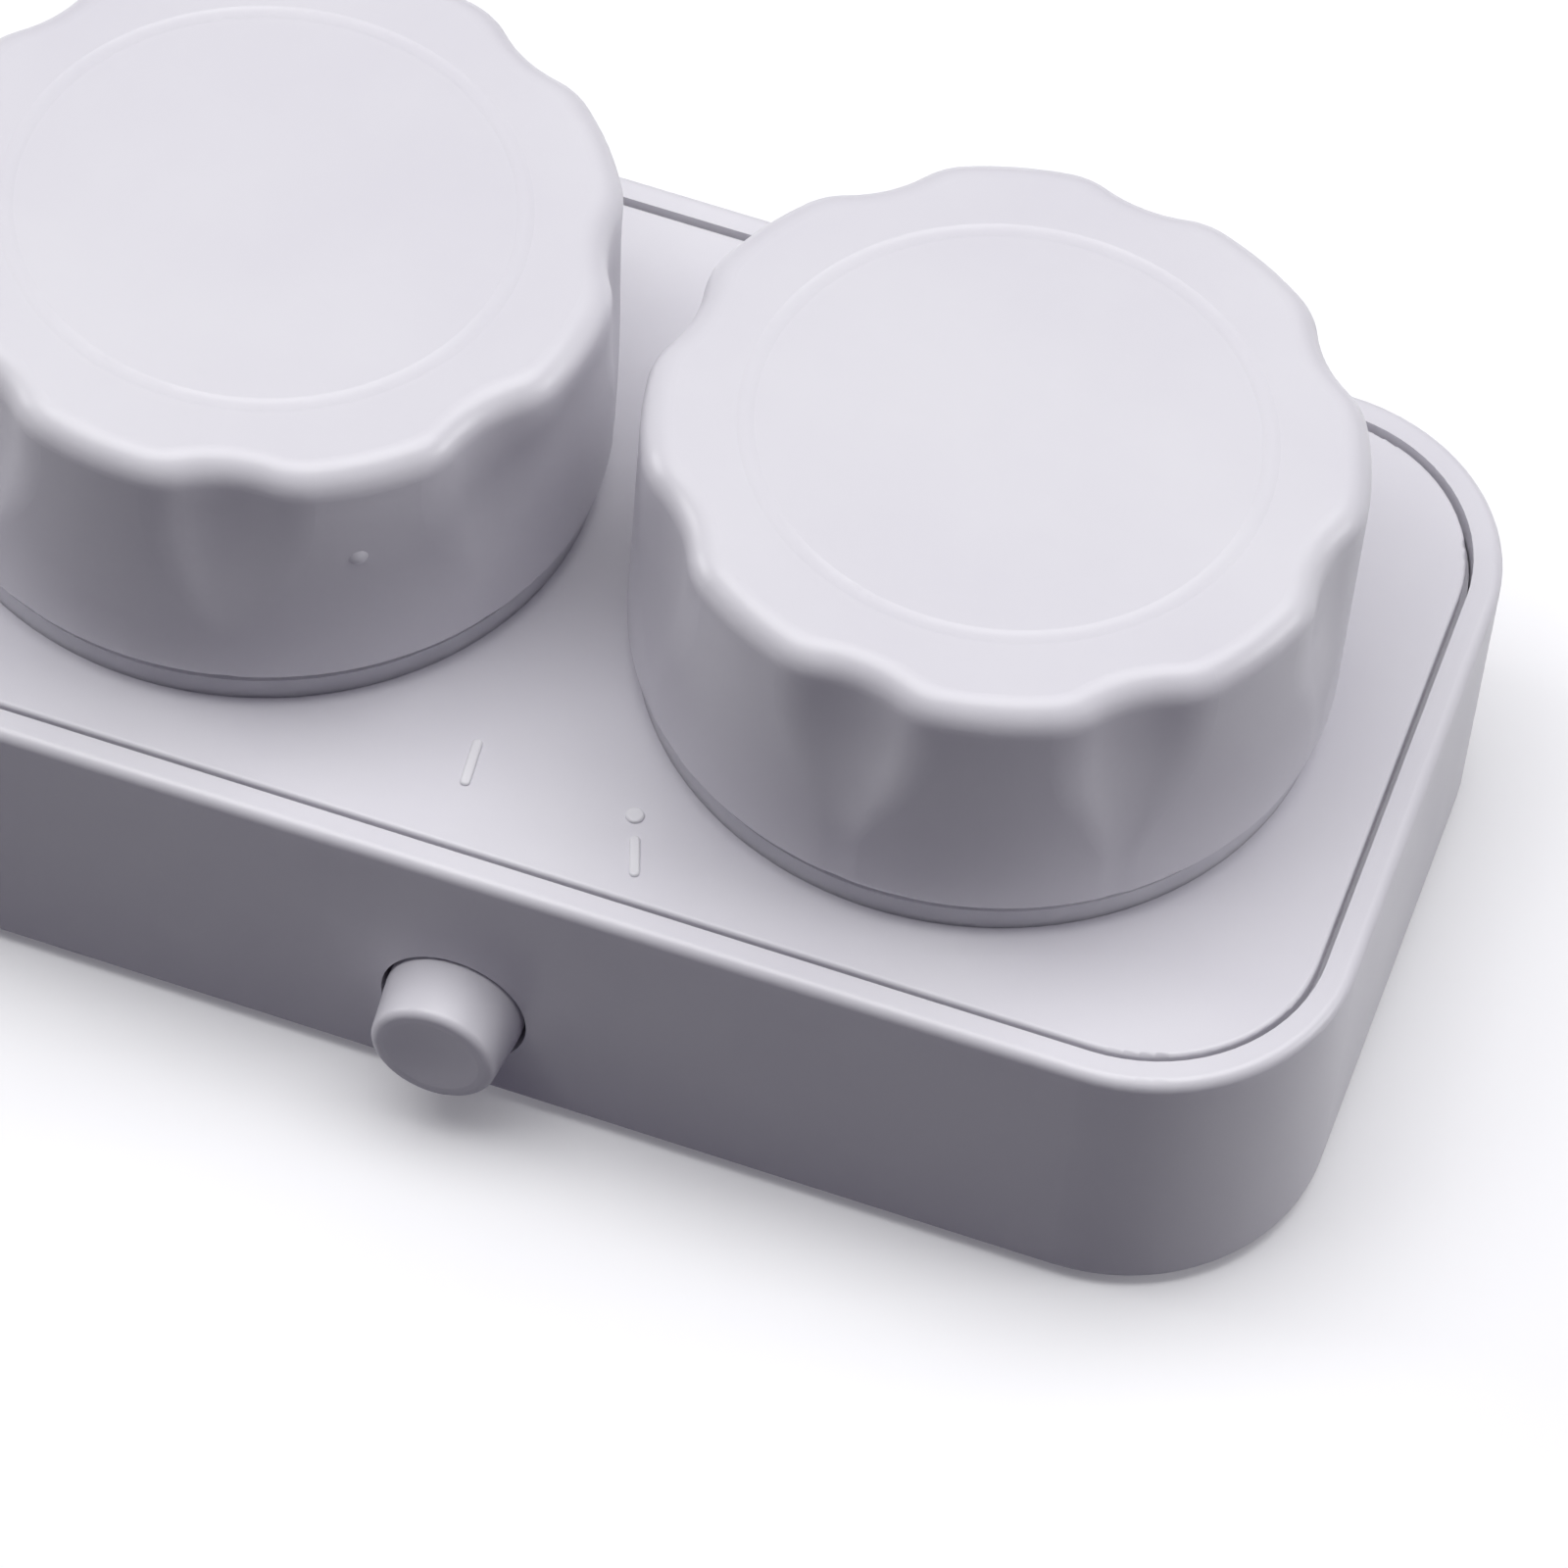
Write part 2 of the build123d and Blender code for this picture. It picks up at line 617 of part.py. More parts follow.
def make_switch_pins():
    """The three flat pins on the switch's back."""
    with BuildPart() as pins:
        with BuildSketch(Plane(origin=(0, SWITCH_BACK_Y, PIN_Z), x_dir=(-1, 0, 0), z_dir=(0, 1, 0))):
            with GridLocations(PIN_PITCH, PIN_PITCH, 3, 1):
                Rectangle(PIN_W, PIN_H)
        extrude(amount=PIN_L)
    return pins.part


def cell_end_x():
    """The x of the cell's positive tip, its shoulder and its negative end."""
    tip = BAY_HIGH_X - CONTACT_T - CONTACT_PLAY
    return tip, tip - CELL_NUB_L, tip - CELL_L


def make_cell_can():
    """The AAA cell's metal can, with its positive nub and its inset negative end."""
    tip, shoulder, tail = cell_end_x()
    with BuildPart() as can:
        with BuildSketch(cell_plane(tail)):
            Circle(CELL_R - CELL_JACKET_T)
        extrude(amount=shoulder - tail)
        fillet(can.edges().filter_by(GeomType.CIRCLE), CELL_END_R)
        with BuildSketch(cell_plane(shoulder)):
            Circle(CELL_NUB_R)
        extrude(amount=tip - shoulder)
    return can.part


def make_cell_jacket():
    """The printed sleeve round the cell, without any marking."""
    _, shoulder, tail = cell_end_x()
    with BuildPart() as jacket:
        with BuildSketch(cell_plane(tail + CELL_FOOT_INSET)):
            Circle(CELL_R)
            Circle(CELL_R - CELL_JACKET_T, mode=Mode.SUBTRACT)
        extrude(amount=shoulder - tail - 2 * CELL_FOOT_INSET)
    return jacket.part


def contact_blank(x):
    """A sprung-metal blank against a bay wall, with its solder tab over the long rib."""
    tab_l = CELL_Y - CONTACT_W / 2 - TAB_END_Y + CONTACT_CORNER_R
    with BuildPart() as blank:
        with BuildSketch(Plane(origin=(x, 0, 0), x_dir=(0, 1, 0), z_dir=(1, 0, 0))):
            with Locations((CELL_Y, (CONTACT_LOW_Z + CONTACT_HIGH_Z) / 2)):
                RectangleRounded(CONTACT_W, CONTACT_HIGH_Z - CONTACT_LOW_Z, CONTACT_CORNER_R)
            with Locations((TAB_END_Y + tab_l / 2, TAB_Z)):
                Rectangle(tab_l, TAB_H)
        extrude(amount=CONTACT_T)
    return blank.part


def make_contact_positive():
    """The flat contact that the cell's nub presses on."""
    return contact_blank(BAY_HIGH_X - CONTACT_T)


def make_contact_negative():
    """The contact at the cell's flat end, with its conical spring wound from one wire."""
    _, _, tail = cell_end_x()
    plate_x = BAY_LOW_X + CONTACT_T
    length = tail - plate_x - 2 * COIL_WIRE_R
    cone_deg = -degrees(atan2(COIL_BIG_R - COIL_SMALL_R, length))
    with BuildPart() as coil:
        with BuildLine() as path:
            Helix(length / COIL_TURNS, length, COIL_BIG_R, cone_angle=cone_deg)
        with BuildSketch(Plane(origin=path.line @ 0, z_dir=path.line % 0)):
            Circle(COIL_WIRE_R)
        sweep(path=path.line, is_frenet=True)
    seat_x = plate_x + COIL_WIRE_R - CONTACT_PLAY
    placed = Pos(seat_x, CELL_Y, CELL_Z) * Rotation(0, 90, 0) * coil.part
    with BuildPart() as contact:
        add(contact_blank(BAY_LOW_X))
        add(placed)
    return contact.part


def make_battery_cover():
    """The door in the floor: two tabs at one end, a latch and a finger grip at the other."""
    cover_l = COVER_HIGH_X - COVER_LOW_X
    tab_x = COVER_LOW_X - COVER_TAB_L / 2
    root_x = COVER_LOW_X + COVER_TAB_ROOT_L / 2
    tab_z = FLOOR_Z + COVER_TAB_GAP
    with BuildPart() as cover:
        with BuildSketch(Plane.XY.offset(UNDERSIDE_Z)):
            with Locations((cover_mid_x(), CELL_Y)):
                RectangleRounded(cover_l, COVER_W, COVER_CORNER_R)
        extrude(amount=FLOOR_T)
        # the root block of each tab stands on the cover, and the tab reaches over the floor
        with BuildSketch(Plane.XY.offset(FLOOR_Z)):
            with Locations((root_x, CELL_Y - COVER_TAB_Y), (root_x, CELL_Y + COVER_TAB_Y)):
                Rectangle(COVER_TAB_ROOT_L, COVER_TAB_W)
        extrude(amount=COVER_TAB_GAP + COVER_TAB_T)
        with BuildSketch(Plane.XY.offset(tab_z)):
            with Locations((tab_x, CELL_Y - COVER_TAB_Y), (tab_x, CELL_Y + COVER_TAB_Y)):
                Rectangle(COVER_TAB_L, COVER_TAB_W)
        extrude(amount=COVER_TAB_T)
        with BuildSketch(Plane.XY.offset(FLOOR_Z)):
            with Locations((COVER_HIGH_X - LATCH_T / 2, CELL_Y)):
                Rectangle(LATCH_T, LATCH_W)
        extrude(amount=LATCH_H)
        # finger grip: a scoop across the outside near the latch
        scoop = (COVER_HIGH_X - 2 * GRIP_R, CELL_Y, UNDERSIDE_Z + GRIP_DEPTH - GRIP_R)
        with BuildSketch(Plane(origin=scoop, x_dir=(1, 0, 0), z_dir=(0, -1, 0))):
            Circle(GRIP_R)
        extrude(amount=GRIP_W / 2, both=True, mode=Mode.SUBTRACT)
    return cover.part


def make_case_screws():
    """Four pan-head screws, up through the floor's bosses into the deck's posts."""
    head_z = FOOT_T + BOSS_GAP / 2
    with BuildPart() as screws:
        with BuildSketch(Plane.XY.offset(head_z)):
            with Locations(*CORNERS):
                Circle(SCREW_HEAD_R)
        extrude(amount=SCREW_HEAD_H)
        with BuildSketch(Plane.XY.offset(head_z)):
            with Locations(*CORNERS):
                Circle(SCREW_R)
        extrude(amount=SCREW_TOP_Z - head_z)
        with BuildSketch(Plane.XY.offset(head_z)):
            with Locations(*CORNERS):
                Rectangle(SCREW_SLOT_L, SCREW_SLOT_W)
                Rectangle(SCREW_SLOT_W, SCREW_SLOT_L)
        extrude(amount=SCREW_SLOT_DEPTH, mode=Mode.SUBTRACT)
    return screws.part


def make_rubber_feet():
    """Four round pads, one stuck in the pocket under each screw."""
    with BuildPart() as feet:
        with BuildSketch(Plane.XY):
            with Locations(*CORNERS):
                Circle(FOOT_R)
        extrude(amount=FOOT_T)
        fillet(feet.edges().group_by(Axis.Z)[0], FOOT_EDGE_R)
    return feet.part


def make_motor_can():
    """The motor's drawn steel can, with a shaft hole in its nose."""
    with BuildPart() as can:
        with BuildSketch(motor_plane(MOTOR_LOW_X)):
            Circle(MOTOR_R)
        extrude(amount=MOTOR_HIGH_X - MOTOR_LOW_X)
        fillet(can.edges().group_by(Axis.X)[-1], MOTOR_WALL)
        with BuildSketch(motor_plane(MOTOR_LOW_X)):
            Circle(MOTOR_R - MOTOR_WALL)
        extrude(amount=MOTOR_HIGH_X - MOTOR_LOW_X - 2 * MOTOR_WALL, mode=Mode.SUBTRACT)
        with BuildSketch(motor_plane(MOTOR_LOW_X)):
            Circle(SHAFT_R + SHAFT_FIT)
        extrude(amount=MOTOR_HIGH_X - MOTOR_LOW_X, mode=Mode.SUBTRACT)
    return can.part


def make_motor_magnet():
    """The ring magnet fixed inside the can."""
    with BuildPart() as magnet:
        with BuildSketch(motor_plane(WINDING_LOW_X)):
            Circle(MOTOR_R - MOTOR_WALL - SLEEVE_GAP)
            Circle(MAGNET_BORE_R, mode=Mode.SUBTRACT)
        extrude(amount=WINDING_L)
    return magnet.part


def make_motor_rotor():
    """The wound rotor on the shaft, inside the ring magnet."""
    with BuildPart() as rotor:
        with BuildSketch(motor_plane(WINDING_LOW_X)):
            Circle(ROTOR_R)
            Circle(SHAFT_R, mode=Mode.SUBTRACT)
        extrude(amount=WINDING_L)
    return rotor.part


def make_motor_end_cap():
    """The plastic plug in the can's open end, with a blind bearing for the shaft."""
    with BuildPart() as end_cap:
        with BuildSketch(motor_plane(MOTOR_LOW_X - MOTOR_CAP_T)):
            Circle(MOTOR_R)
        extrude(amount=MOTOR_CAP_T)
        with BuildSketch(motor_plane(MOTOR_LOW_X)):
            Circle(MOTOR_R - MOTOR_WALL - SLEEVE_GAP)
        extrude(amount=MOTOR_PLUG_L)
        with BuildSketch(motor_plane(MOTOR_LOW_X)):
            Circle(SHAFT_R + SHAFT_FIT)
        extrude(amount=MOTOR_PLUG_L, mode=Mode.SUBTRACT)
    return end_cap.part


def make_motor_tabs():
    """The two solder tabs on the motor's end."""
    with BuildPart() as tabs:
        end = (MOTOR_LOW_X - MOTOR_CAP_T, 0, MOTOR_Z)
        with BuildSketch(Plane(origin=end, x_dir=(0, 1, 0), z_dir=(1, 0, 0))):
            with Locations(*[(y, 0) for y in MOTOR_TAB_Y]):
                Rectangle(MOTOR_TAB_W, MOTOR_TAB_T)
        extrude(amount=-MOTOR_TAB_L)
    return tabs.part


def make_motor_shaft():
    """The motor's shaft, from the end cap's bearing out through the can's nose."""
    start = MOTOR_LOW_X + SHAFT_FIT
    with BuildPart() as shaft:
        with BuildSketch(motor_plane(start)):
            Circle(SHAFT_R)
        extrude(amount=SHAFT_END_X - start)
        chamfer(shaft.edges().group_by(Axis.X)[-1], SHAFT_R / 4)
    return shaft.part


def make_eccentric_weight():
    """The half-moon weight whose spin shakes the cups."""
    with BuildPart() as weight:
        with BuildSketch(motor_plane(WEIGHT_LOW_X)):
            Circle(WEIGHT_R)
            with Locations((0, WEIGHT_R)):
                Rectangle(2 * WEIGHT_R, 2 * WEIGHT_R, mode=Mode.SUBTRACT)
            Circle(WEIGHT_HUB_R)
            Circle(SHAFT_R, mode=Mode.SUBTRACT)
        extrude(amount=WEIGHT_L)
    return weight.part


def make_motor_sleeve():
    """The rubber sleeve between the motor's can and the saddles."""
    with BuildPart() as sleeve:
        with BuildSketch(motor_plane(SLEEVE_LOW_X)):
            Circle(SLEEVE_R)
            Circle(MOTOR_R + SLEEVE_GAP, mode=Mode.SUBTRACT)
        extrude(amount=SLEEVE_L)
    return sleeve.part


def make_wire(points, radii):
    """An insulated wire along straight runs joined by arcs."""
    with BuildPart() as wire:
        with BuildLine() as path:
            FilletPolyline(*points, radius=radii)
        with BuildSketch(Plane(origin=path.line @ 0, z_dir=path.line % 0)):
            Circle(WIRE_R)
        sweep(path=path.line)
    return wire.part


def wire_positive():
    """From the positive contact's tab to the switch's right-hand pin."""
    tab_x = BAY_HIGH_X - CONTACT_T / 2
    pin_x = PIN_PITCH + PIN_W / 2 + WIRE_GAP
    lane_y = SWITCH_BACK_Y + PIN_L - WIRE_R - WIRE_LANE_GAP
    points = [
        (tab_x, TAB_END_Y - WIRE_GAP, TAB_Z),
        (tab_x, -4.5, TAB_Z),
        (17.0, -9.5, 6.0),
        (10.0, lane_y, PIN_Z),
        (pin_x, lane_y, PIN_Z),
    ]
    return make_wire(points, [2.5, 4.0, 4.0])


def wire_switched():
    """From the switch's left-hand pin to the motor's front tab."""
    pin_x = -PIN_PITCH - PIN_W / 2 - WIRE_GAP
    lane_y = SWITCH_BACK_Y + PIN_L - WIRE_R - WIRE_LANE_GAP
    tab_x = MOTOR_LOW_X - MOTOR_CAP_T - MOTOR_TAB_L - WIRE_GAP
    points = [
        (pin_x, lane_y, PIN_Z),
        (-9.5, lane_y, PIN_Z),
        (-14.5, -8.0, 5.0),
        (-16.5, -4.6, 6.5),
        (tab_x - 1.6, MOTOR_TAB_Y[0], MOTOR_Z),
        (tab_x, MOTOR_TAB_Y[0], MOTOR_Z),
    ]
    return make_wire(points, [3.0, 1.6, 1.2, 0.8])


def wire_negative():
    """From the motor's rear tab to the negative contact's tab."""
    plate_x = BAY_LOW_X + CONTACT_T / 2
    tab_x = MOTOR_LOW_X - MOTOR_CAP_T - MOTOR_TAB_L - WIRE_GAP
    points = [
        (tab_x, MOTOR_TAB_Y[1], MOTOR_Z),
        (-17.5, MOTOR_TAB_Y[1], MOTOR_Z),
        (plate_x, -3.0, TAB_Z),
        (plate_x, TAB_END_Y - WIRE_GAP, TAB_Z),
    ]
    return make_wire(points, [3.5, 1.8])


PIECES = {
    "body_shell": make_body_shell(),
    "deck_plate": make_deck_plate(),
    "lens_cup_left": make_lens_cup(-1),
    "lens_cup_right": make_lens_cup(1),
    "cap_left": make_cap(-1, LEFT_FLUTE_DEG),
    "cap_right": make_cap(1, RIGHT_FLUTE_DEG),
    "cap_liner_left": make_cap_liner(-1),
    "cap_liner_right": make_cap_liner(1),
    "power_button": make_power_button(),
    "switch_plunger": make_switch_plunger(),
    "switch_housing": make_switch_housing(),
    "switch_spring": make_switch_spring(),
    "switch_pins": make_switch_pins(),
    "cell_can": make_cell_can(),
    "cell_jacket": make_cell_jacket(),
    "contact_positive": make_contact_positive(),
    "contact_negative": make_contact_negative(),
    "battery_cover": make_battery_cover(),
    "case_screws": make_case_screws(),
    "rubber_feet": make_rubber_feet(),
    "motor_can": make_motor_can(),
    "motor_magnet": make_motor_magnet(),
    "motor_rotor": make_motor_rotor(),
    "motor_end_cap": make_motor_end_cap(),
    "motor_tabs": make_motor_tabs(),
    "motor_shaft": make_motor_shaft(),
    "eccentric_weight": make_eccentric_weight(),
    "motor_sleeve": make_motor_sleeve(),
    "wire_positive": wire_positive(),
    "wire_switched": wire_switched(),
    "wire_negative": wire_negative(),
}

os.makedirs("parts", exist_ok=True)
for name, piece in PIECES.items():
    piece.label = name
    export_step(piece, f"parts/{name}.step")
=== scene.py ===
from math import cos, pi, radians, sin

import bpy
from mathutils import Matrix, Vector


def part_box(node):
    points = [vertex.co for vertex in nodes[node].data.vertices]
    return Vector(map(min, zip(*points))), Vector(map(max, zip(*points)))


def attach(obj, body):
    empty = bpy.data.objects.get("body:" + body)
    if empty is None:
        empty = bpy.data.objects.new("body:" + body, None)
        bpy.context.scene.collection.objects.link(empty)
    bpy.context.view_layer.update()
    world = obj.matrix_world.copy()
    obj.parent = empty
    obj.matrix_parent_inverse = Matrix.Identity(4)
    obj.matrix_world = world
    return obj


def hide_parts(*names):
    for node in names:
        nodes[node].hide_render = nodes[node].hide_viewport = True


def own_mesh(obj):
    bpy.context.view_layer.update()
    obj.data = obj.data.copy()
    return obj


# The battery-driven contact lens case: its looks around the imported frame. Metres throughout.

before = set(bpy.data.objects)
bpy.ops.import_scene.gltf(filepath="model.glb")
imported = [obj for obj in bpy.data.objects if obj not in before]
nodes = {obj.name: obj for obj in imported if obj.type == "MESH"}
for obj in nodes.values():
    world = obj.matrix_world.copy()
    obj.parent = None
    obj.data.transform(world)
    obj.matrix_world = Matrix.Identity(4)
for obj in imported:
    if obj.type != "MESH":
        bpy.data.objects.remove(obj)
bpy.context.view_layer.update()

MM = 0.001

# Camera
CAMERA_AZIMUTH = 14.49
CAMERA_ELEVATION = 52.55
CAMERA_ROLL = 5.67
CAMERA_DISTANCE = 0.3536
CAMERA_TARGET = (0.01014, -0.00718, 0.01088)
CAMERA_LENS = 192.4
CAMERA_SENSOR = 36.0
CAMERA_NEAR = 0.01

# Studio: one wide panel above and behind, a weaker one on each side, and a lilac sky
PANEL_PLACE = (-0.02, 0.04, 0.60)
PANEL_SIZE = (0.85, 0.40)
PANEL_POWER = 3.75
RIGHT_PLACE = (0.75, 0.15, 0.30)
RIGHT_SIZE = (0.3, 0.3)
RIGHT_POWER = 1.3
LEFT_PLACE = (-0.75, 0.0, 0.30)
LEFT_SIZE = (0.3, 0.3)
LEFT_POWER = 1.25
LIGHT_TARGET = (0, 0, 0.01)
SKY_COLOUR = (0.77, 0.70, 1.0, 1)
SKY_STRENGTH = 0.085
FLOOR_SIZE = 3.0
FLOOR_COLOUR = (0.94, 0.94, 0.95, 1)
FLOOR_ROUGHNESS = 0.9
FLOOR_GLOW = 0.14

# The deck's touch marks, their raised tops painted whiter as a painted highlight
MARK_HIGHLIGHT_WHITE = (0.87, 0.865, 0.89, 1)
MARK_BLEND = 0.04 * MM

# The cell's printed film, as shares of its length
PALE_LINE_START = 0.66
PALE_LINE_END = 0.68
PALE_BAND_START = 0.94
FILM_FLECKS = 60         # flecks along the film

# Fittings added inside and under the case
WIRE_R = 0.45 * MM
SOLDER_R = 0.75 * MM
SOLDER_L = 1.5 * MM
SOLDER_STEPS = 12
SOLDER_SWELL = 1.6       # higher is more pointed at the ends
SOLDER_LEAN = 0.18       # how much fuller the first half is
LATHE_STEPS = 32
MOTOR_TAB_W = 1.0 * MM
COVER_RIBS = 4
COVER_RIB_L = 6.0 * MM
COVER_RIB_R = 0.4 * MM
COVER_RIB_PROUD = 0.22 * MM
COVER_RIB_PITCH = 1.5 * MM
COVER_RIB_START = 8.0 * MM
COVER_RIB_STEPS = 24
SPRING_COIL_R = 1.45 * MM
SPRING_WIRE_R = 0.16 * MM
SPRING_TURNS = 5
SPRING_STEPS = 40        # per turn
SPRING_WIRE_STEPS = 12


# Building blocks for materials

def new_material(name):
    """A material's node tree and its shader."""
    material = bpy.data.materials.new(name)
    material.use_nodes = True
    tree = material.node_tree
    return material, tree, tree.nodes["Principled BSDF"]


def set_inputs(node, **values):
    """Sets sockets by name, with spaces written as underscores."""
    for name, value in values.items():
        node.inputs[name.replace("_", " ")].default_value = value


def noise(tree, scale, detail=3.0, stretch=(1, 1, 1)):
    """A noise value in the piece's own frame. The scale counts cells per metre."""
    place = tree.nodes.new("ShaderNodeTexCoord")
    spread = tree.nodes.new("ShaderNodeMapping")
    spread.inputs["Scale"].default_value = stretch
    texture = tree.nodes.new("ShaderNodeTexNoise")
    texture.inputs["Scale"].default_value = scale
    texture.inputs["Detail"].default_value = detail
    tree.links.new(place.outputs["Object"], spread.inputs["Vector"])
    tree.links.new(spread.outputs["Vector"], texture.inputs["Vector"])
    return texture.outputs["Fac"]


def bands(tree, scale, axis, distortion=0.0):
    """A wave value that repeats along one axis of the piece's own frame."""
    place = tree.nodes.new("ShaderNodeTexCoord")
    wave = tree.nodes.new("ShaderNodeTexWave")
    wave.bands_direction = axis
    wave.inputs["Scale"].default_value = scale
    wave.inputs["Distortion"].default_value = distortion
    tree.links.new(place.outputs["Object"], wave.inputs["Vector"])
    return wave.outputs["Fac"]


def height_of(tree):
    """The height of a point in the piece's own frame."""
    place = tree.nodes.new("ShaderNodeTexCoord")
    split = tree.nodes.new("ShaderNodeSeparateXYZ")
    tree.links.new(place.outputs["Object"], split.inputs["Vector"])
    return split.outputs["Z"]


def remap(tree, value, low, high, start=0.3, end=0.7):
    """Stretches value from start..end to low..high, and stops at both."""
    node = tree.nodes.new("ShaderNodeMapRange")
    set_inputs(node, From_Min=start, From_Max=end, To_Min=low, To_Max=high)
    tree.links.new(value, node.inputs["Value"])
    return node.outputs["Result"]


def mix_colours(tree, value, first, second):
    """A colour between first and second, by value."""
    node = tree.nodes.new("ShaderNodeMix")
    node.data_type = "RGBA"
    tree.links.new(value, node.inputs["Factor"])
    for socket, colour in (("A", first), ("B", second)):
        target = [i for i in node.inputs if i.name == socket and i.type == "RGBA"][0]
        if isinstance(colour, tuple):
            target.default_value = colour
        else:
            tree.links.new(colour, target)
    return [o for o in node.outputs if o.type == "RGBA"][0]


def bump(tree, height, depth, normal=None):
    """A bump from height, depth metres deep, on top of another bump if one is given."""
    node = tree.nodes.new("ShaderNodeBump")
    node.inputs["Distance"].default_value = depth
    tree.links.new(height, node.inputs["Height"])
    if normal is not None:
        tree.links.new(normal, node.inputs["Normal"])
    return node.outputs["Normal"]


def finish_material(tree, shader, colour, roughness, normal):
    """Joins a colour, a roughness and a bump to the shader, whose scattering has no tint."""
    shader.inputs["Subsurface Radius"].default_value = (1, 1, 1)
    tree.links.new(colour, shader.inputs["Base Color"])
    tree.links.new(roughness, shader.inputs["Roughness"])
    tree.links.new(normal, shader.inputs["Normal"])


# Materials

def moulded_white(name, marks_z=None):
    """Glossy lilac-white ABS: cloudy flow marks, a faint moulded grain and light scuffs.
    What stands higher than marks_z is painted a whiter tone: a painted highlight on the raised marks."""
    material, tree, shader = new_material(name)
    set_inputs(shader, IOR=1.5, Subsurface_Weight=0.1, Subsurface_Scale=0.0008)
    clouds = remap(tree, noise(tree, 90, detail=4.0), 0, 1)
    colour = mix_colours(tree, clouds, (0.772, 0.758, 0.806, 1), (0.806, 0.796, 0.834, 1))
    if marks_z is not None:
        # The tops of the raised marks are painted whiter: a painted highlight.
        mark_highlight = remap(tree, height_of(tree), 0, 1, start=marks_z, end=marks_z + MARK_BLEND)
        colour = mix_colours(tree, mark_highlight, colour, MARK_HIGHLIGHT_WHITE)
    roughness = remap(tree, noise(tree, 140, detail=2.0), 0.285, 0.36)
    grain = bump(tree, noise(tree, 2600, detail=0.0), 0.000003)
    ripple = bump(tree, noise(tree, 240, detail=1.0), 0.00002, grain)
    finish_material(tree, shader, colour, roughness, ripple)
    return material


def natural_plastic():
    """Milky natural polypropylene, with faint streaks where it flowed in."""
    material, tree, shader = new_material("natural_plastic")
    set_inputs(shader, IOR=1.49, Subsurface_Weight=0.6, Subsurface_Scale=0.002)
    streaks = remap(tree, noise(tree, 150, detail=2.0, stretch=(1, 1, 3)), 0, 1)
    colour = mix_colours(tree, streaks, (0.70, 0.69, 0.75, 1), (0.77, 0.765, 0.81, 1))
    roughness = remap(tree, noise(tree, 200, detail=2.0), 0.29, 0.36)
    normal = bump(tree, noise(tree, 900, detail=1.0), 0.000003)
    finish_material(tree, shader, colour, roughness, normal)
    return material


def soft_silicone(name, light, dark, roughness):
    """A matt rubbery surface that holds dust, for seals and feet."""
    material, tree, shader = new_material(name)
    set_inputs(shader, IOR=1.41, Subsurface_Weight=0.2, Subsurface_Scale=0.001)
    dust = remap(tree, noise(tree, 700, detail=6.0), 0, 1, start=0.4, end=0.75)
    colour = mix_colours(tree, dust, dark, light)
    rough = remap(tree, noise(tree, 400), roughness - 0.08, roughness + 0.08)
    normal = bump(tree, noise(tree, 2400, detail=3.0), 0.00002)
    finish_material(tree, shader, colour, rough, normal)
    return material


def textured_black():
    """Black moulded plastic with a fine spark-eroded grain."""
    material, tree, shader = new_material("textured_black")
    greys = remap(tree, noise(tree, 300, detail=4.0), 0, 1)
    colour = mix_colours(tree, greys, (0.012, 0.012, 0.013, 1), (0.030, 0.030, 0.033, 1))
    roughness = remap(tree, noise(tree, 600), 0.42, 0.6)
    normal = bump(tree, noise(tree, 4200, detail=3.0), 0.00003)
    finish_material(tree, shader, colour, roughness, normal)
    return material


def worked_metal(name, bright, dull, roughness, line_axis, line_scale):
    """Plated or drawn metal with fine tool lines across line_axis and dull patches."""
    material, tree, shader = new_material(name)
    set_inputs(shader, Metallic=1.0)
    patches = remap(tree, noise(tree, 450, detail=5.0), 0, 1, start=0.42, end=0.68)
    colour = mix_colours(tree, patches, bright, dull)
    rough = remap(tree, noise(tree, 800, detail=4.0), roughness, roughness + 0.14)
    lines = bump(tree, bands(tree, line_scale, line_axis, distortion=1.5), 0.000004)
    normal = bump(tree, noise(tree, 2600, detail=2.0), 0.000006, lines)
    finish_material(tree, shader, colour, rough, normal)
    return material


def cell_film():
    """The cell's printed film: a dark part, a pale line, a blue part and a pale end, with no marking."""
    material, tree, shader = new_material("cell_film")
    set_inputs(shader, Metallic=0.35, Coat_Weight=0.6, Coat_Roughness=0.08)
    low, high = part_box("cell_jacket")
    length = high.x - low.x
    place = tree.nodes.new("ShaderNodeTexCoord")
    split = tree.nodes.new("ShaderNodeSeparateXYZ")
    tree.links.new(place.outputs["Object"], split.inputs["Vector"])
    along = remap(tree, split.outputs["X"], 0, 1, start=low.x, end=high.x)
    print_bands = tree.nodes.new("ShaderNodeValToRGB")
    print_bands.color_ramp.interpolation = "CONSTANT"
    stops = [
        (0.0, (0.020, 0.035, 0.075, 1)),
        (PALE_LINE_START, (0.75, 0.70, 0.55, 1)),
        (PALE_LINE_END, (0.045, 0.10, 0.26, 1)),
        (PALE_BAND_START, (0.75, 0.70, 0.55, 1)),
    ]
    ramp = print_bands.color_ramp.elements
    ramp[0].position, ramp[0].color = stops[0]
    ramp[1].position, ramp[1].color = stops[-1]
    for position, colour in stops[1:-1]:
        ramp.new(position).color = colour
    tree.links.new(along, print_bands.inputs["Fac"])
    flecks = remap(tree, noise(tree, FILM_FLECKS / length, detail=5.0), 0, 0.08)
    colour = mix_colours(tree, flecks, print_bands.outputs["Color"], (0.30, 0.33, 0.40, 1))
    roughness = remap(tree, noise(tree, 500), 0.16, 0.25)
    normal = bump(tree, noise(tree, 700, detail=2.0, stretch=(0.2, 1, 1)), 0.00002)
    finish_material(tree, shader, colour, roughness, normal)
    return material


